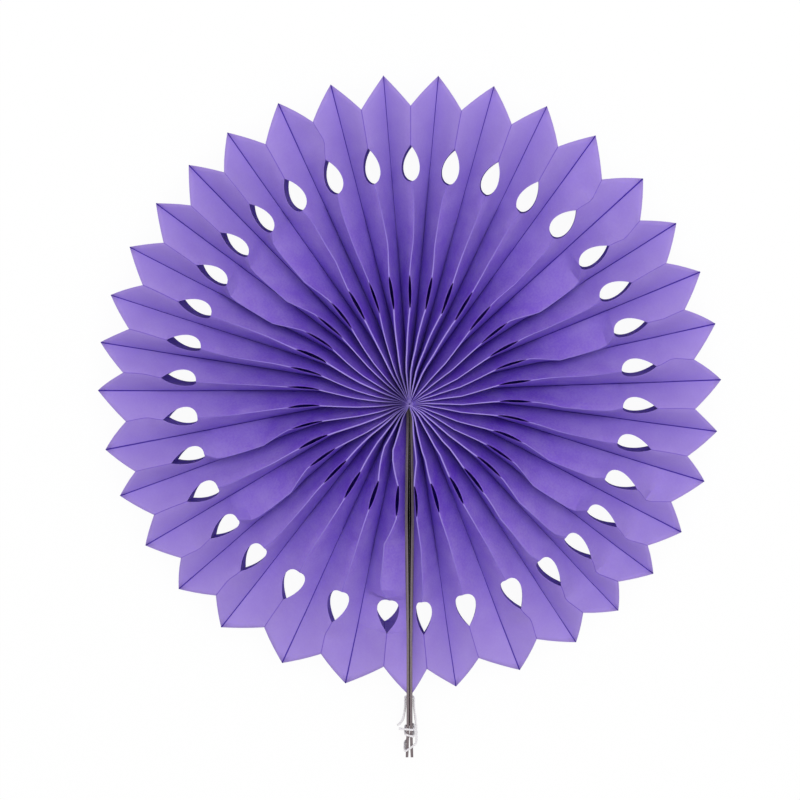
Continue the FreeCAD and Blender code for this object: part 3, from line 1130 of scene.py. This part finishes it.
@dataclass
class TieThread:
    """The thread wound round both rib ends. Sizes are in millimetres."""

    material: bpy.types.Material
    ribs: RibLayout
    diameter: float = 1.6
    clearance: float = 0.1
    ply_count: int = 3
    ply_radius: float = 0.43
    ply_sides: int = 6
    twist_length: float = 4.5
    hole_radius: float = 205.0
    first_turn: float = 225.5
    turn_spacing: float = 4.6
    slant: float = 5.5
    stand_off: float = 1.45
    tail: float = 4.2
    round_off: float = 0.9
    curve_order: int = 3
    curve_steps: int = 12
    sample_step: float = 0.35

    def beside(self, radius: float) -> float:
        """Gives the distance from the middle line to thread that lies on a rib's outer face."""
        return self.ribs.outer_face(radius) + self.diameter / 2 + self.clearance

    def stops(self) -> list[Vector]:
        """Lists the thread's control points: tail, two turns, a slanting turn, then the strands to the rim.

        Returns:
            The points, in metres.
        """
        # Distances given as plain numbers are small bends, in millimetres or as shares of a turn's spacing
        beside = self.beside
        first = self.first_turn
        second = first + self.turn_spacing
        third = second + self.turn_spacing + self.slant
        hole = self.hole_radius
        face = self.ribs.half_width + self.diameter / 2 + self.clearance
        step = self.turn_spacing / 4
        strand = beside(third) + self.stand_off
        near = self.round_off
        plan = [(-beside(first) - self.tail, first - 0.2 * self.turn_spacing, face)]
        plan += [(0.0, first - step / 3, face + 0.1)]
        corners = [
            (beside(first + step), first, face),
            (beside(first + 2 * step), first + step, -face),
            (-beside(first + 3 * step), first + 2 * step, -face),
            (-beside(first + 3 * step), first + 3 * step, face),
            (beside(second + step), second, face),
            (beside(second + 2 * step), second + step, -face),
            (-beside(third), third - 1.2 * step, -face),
            (-beside(third), third, face),
        ]
        for x, radius, height in corners:
            flat = (x - math.copysign(near, x), radius, height)
            upright = (x, radius, height - math.copysign(near, height))
            entering_flat = corners.index((x, radius, height)) % 2 == 0
            plan += [flat, upright] if entering_flat else [upright, flat]
        plan += [
            (strand - 0.6, third - self.slant + 0.5, face + 0.5),
            (strand, third - self.slant - 0.6, face),
            (strand, first - 0.3 * self.turn_spacing, 0.55 * face),
            (beside(hole), hole + 0.3 * (first - hole), 0.05 * face),
            (beside(hole) + 0.1, hole + 1.0, 0.0),
            (beside(hole), hole, 0.0),
            (beside(hole) - 1.0, hole, 0.0),
            (-beside(hole) + 1.0, hole, 0.0),
            (-beside(hole), hole, 0.0),
            (-beside(hole) - 0.1, hole + 1.0, 0.0),
            (-beside(hole), hole + 0.35 * (first - hole), 0.1 * face),
            (-strand, first - 0.95 * self.turn_spacing, 0.75 * face),
            (-strand - 0.8 * self.tail, first - 0.75 * self.turn_spacing, face),
        ]
        return [Vector((x, -r, self.ribs.middle_height(r) + z)) * MM for x, r, z in plan]

    def centreline(self) -> list[Vector]:
        """Reads evenly spaced points from the thread's smooth centre line.

        Returns:
            The points, in metres.
        """
        curve = bpy.data.curves.new("tie_centreline", "CURVE")
        curve.dimensions = "3D"
        spline = curve.splines.new("NURBS")
        stops = self.stops()
        spline.points.add(len(stops) - 1)
        for point, stop in zip(spline.points, stops):
            point.co = (*stop, 1.0)
        spline.order_u = self.curve_order
        spline.use_endpoint_u = True
        spline.resolution_u = self.curve_steps
        line = add_object("tie_centreline", curve)
        bpy.context.view_layer.update()
        mesh = bpy.data.meshes.new_from_object(line.evaluated_get(bpy.context.evaluated_depsgraph_get()))
        points = [v.co.copy() for v in mesh.vertices]
        bpy.data.objects.remove(line)
        bpy.data.meshes.remove(mesh)
        return self.evenly(points)

    def evenly(self, points: list[Vector]) -> list[Vector]:
        """Spaces points evenly along a line.

        Args:
            points: The line's own points.

        Returns:
            Points one sample step apart.
        """
        step = self.sample_step * MM
        spaced = [points[0]]
        wanted = step
        walked = 0.0
        for before, after in zip(points, points[1:]):
            length = (after - before).length
            while length > 0 and walked + length >= wanted:
                spaced.append(before.lerp(after, (wanted - walked) / length))
                wanted += step
            walked += length
        return spaced

    def add_ply(self, mesh: bmesh.types.BMesh, line: list[Vector], turn: float) -> None:
        """Winds one ply along the thread's line.

        Args:
            mesh: The thread's mesh, which gets the ply.
            line: Even points along the thread's middle.
            turn: The ply's place round the thread at its start, in radians.
        """
        reach = (self.diameter / 2 - self.ply_radius) * MM
        across = (line[1] - line[0]).orthogonal().normalized()
        path = []
        for k, point in enumerate(line):
            ahead = (line[min(k + 1, len(line) - 1)] - line[max(k - 1, 0)]).normalized()
            across = (across - ahead * across.dot(ahead)).normalized()
            angle = turn + 2 * math.pi * k * self.sample_step / self.twist_length
            offset = across * math.cos(angle) + ahead.cross(across) * math.sin(angle)
            path.append((point + offset * reach, ahead))
        ring: list[bmesh.types.BMVert] = []
        last_point = line[0]
        for point, ahead in path:
            level = ahead.orthogonal().normalized()
            if ring:
                previous = (ring[0].co - last_point).normalized()
                level = (previous - ahead * previous.dot(ahead)).normalized()
            upright = ahead.cross(level)
            new_ring = []
            for k in range(self.ply_sides):
                around = 2 * math.pi * k / self.ply_sides
                spoke = level * math.cos(around) + upright * math.sin(around)
                new_ring.append(mesh.verts.new(point + spoke * self.ply_radius * MM))
            if not ring:
                mesh.faces.new(new_ring[::-1])
            for k, vert in enumerate(ring):
                after = (k + 1) % self.ply_sides
                mesh.faces.new((vert, ring[after], new_ring[after], new_ring[k]))
            ring = new_ring
            last_point = point
        mesh.faces.new(ring)

    def build(self) -> bpy.types.Object:
        """Twists the thread from its plies and ties it round the ribs.

        Returns:
            The thread, dressed and riding on the fan.
        """
        line = self.centreline()
        mesh = bmesh.new()
        for ply in range(self.ply_count):
            self.add_ply(mesh, line, 2 * math.pi * ply / self.ply_count)
        bmesh.ops.recalc_face_normals(mesh, faces=mesh.faces)
        piece = add_piece("tied_thread", mesh)
        for polygon in piece.data.polygons:
            polygon.use_smooth = True
        piece.data.materials.append(self.material)
        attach(piece, ROOT)
        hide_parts("tie_thread")
        log.info("tied thread: %.0f mm long", len(line) * self.sample_step)
        return piece


@dataclass
class Studio:
    """Pale table, soft light and the camera above the fan. Sizes are in metres."""

    aim: Vector
    distance: float = 1.226
    tilt: float = math.radians(9.2)
    lens: float = 86.55
    sensor: float = 36.0
    shift: tuple[float, float] = (-9.5 / 800, -7.5 / 800)
    floor_size: float = 6.0
    table: str = "#F2F2F2"
    table_white_share: float = 0.95
    sky: str = "#FFFFFF"
    sky_strength: float = 0.50
    key_power: float = 33.5
    key_size: float = 2.2
    key_place: tuple[float, float, float] = (0.15, 0.35, 2.0)

    def add_floor(self) -> None:
        """Lays a white table that keeps a faint shadow and shows white to the camera."""
        mesh = bmesh.new()
        bmesh.ops.create_grid(mesh, x_segments=1, y_segments=1, size=self.floor_size / 2)
        floor = add_piece("table_top", mesh)
        material, add = new_material("white_table")
        paint = add("ShaderNodeBsdfDiffuse", values={"Color": srgb(self.table)})
        white = add("ShaderNodeEmission", values={"Strength": 1.0})
        seen = add("ShaderNodeLightPath")
        share = add(
            "ShaderNodeMath",
            {"operation": "MULTIPLY"},
            {1: self.table_white_share},
            {0: seen.outputs["Is Camera Ray"]},
        )
        mixed = add(
            "ShaderNodeMixShader",
            links={0: share.outputs["Value"], 1: paint.outputs["BSDF"], 2: white.outputs["Emission"]},
        )
        add("ShaderNodeOutputMaterial", links={"Surface": mixed.outputs["Shader"]})
        floor.data.materials.append(material)

    def add_light(self) -> None:
        """Hangs one large soft lamp over the table and lights the room evenly."""
        world = bpy.data.worlds.new("studio")
        bpy.context.scene.world = world
        world.use_nodes = True
        sky = world.node_tree.nodes["Background"]
        sky.inputs["Color"].default_value = srgb(self.sky)
        sky.inputs["Strength"].default_value = self.sky_strength
        lamp = bpy.data.lights.new("soft_box", "AREA")
        lamp.shape = "DISK"
        lamp.size = self.key_size
        lamp.energy = self.key_power
        key = add_object("soft_box", lamp)
        key.location = self.key_place
        key.rotation_euler = (self.aim - key.location).to_track_quat("-Z", "Y").to_euler()

    def add_camera(self) -> None:
        """Sets the camera where the photograph was taken from."""
        data = bpy.data.cameras.new("camera")
        data.lens = self.lens
        data.sensor_width = self.sensor
        data.shift_x, data.shift_y = self.shift
        camera = add_object("camera", data)
        back = Vector((0.0, math.sin(self.tilt), math.cos(self.tilt)))
        camera.location = self.aim + back * self.distance
        camera.rotation_euler = (-self.tilt, 0.0, 0.0)
        bpy.context.scene.camera = camera

    def build(self) -> None:
        """Sets up table, light and camera."""
        self.add_floor()
        self.add_light()
        self.add_camera()
        bpy.context.scene.view_settings.view_transform = "Standard"
        log.info("studio: camera at %.2f m", self.distance)


def main() -> None:
    """Builds the fan's pieces round the frame, then the studio, and notes the sizes."""
    logging.basicConfig(level=logging.INFO)
    ribs = RibLayout()
    TissueBody(TissueFinish(), ribs).build()
    # The boards' inner faces are drawn near-black: painted shade in the gap between them
    gap_painted_shade = GreyboardFinish(name="greyboard_painted_gap_shade", face="#3C3046", ply="#221A28", gloss=0.0)
    Ribs(GreyboardFinish(), gap_painted_shade, ribs).build()
    cotton = ThreadFinish().build()
    HubThread(cotton).build()
    TieThread(cotton, ribs).build()
    Studio(Vector((0.0, 0.0, ribs.hub_height * MM))).build()


if __name__ == "__main__":
    main()
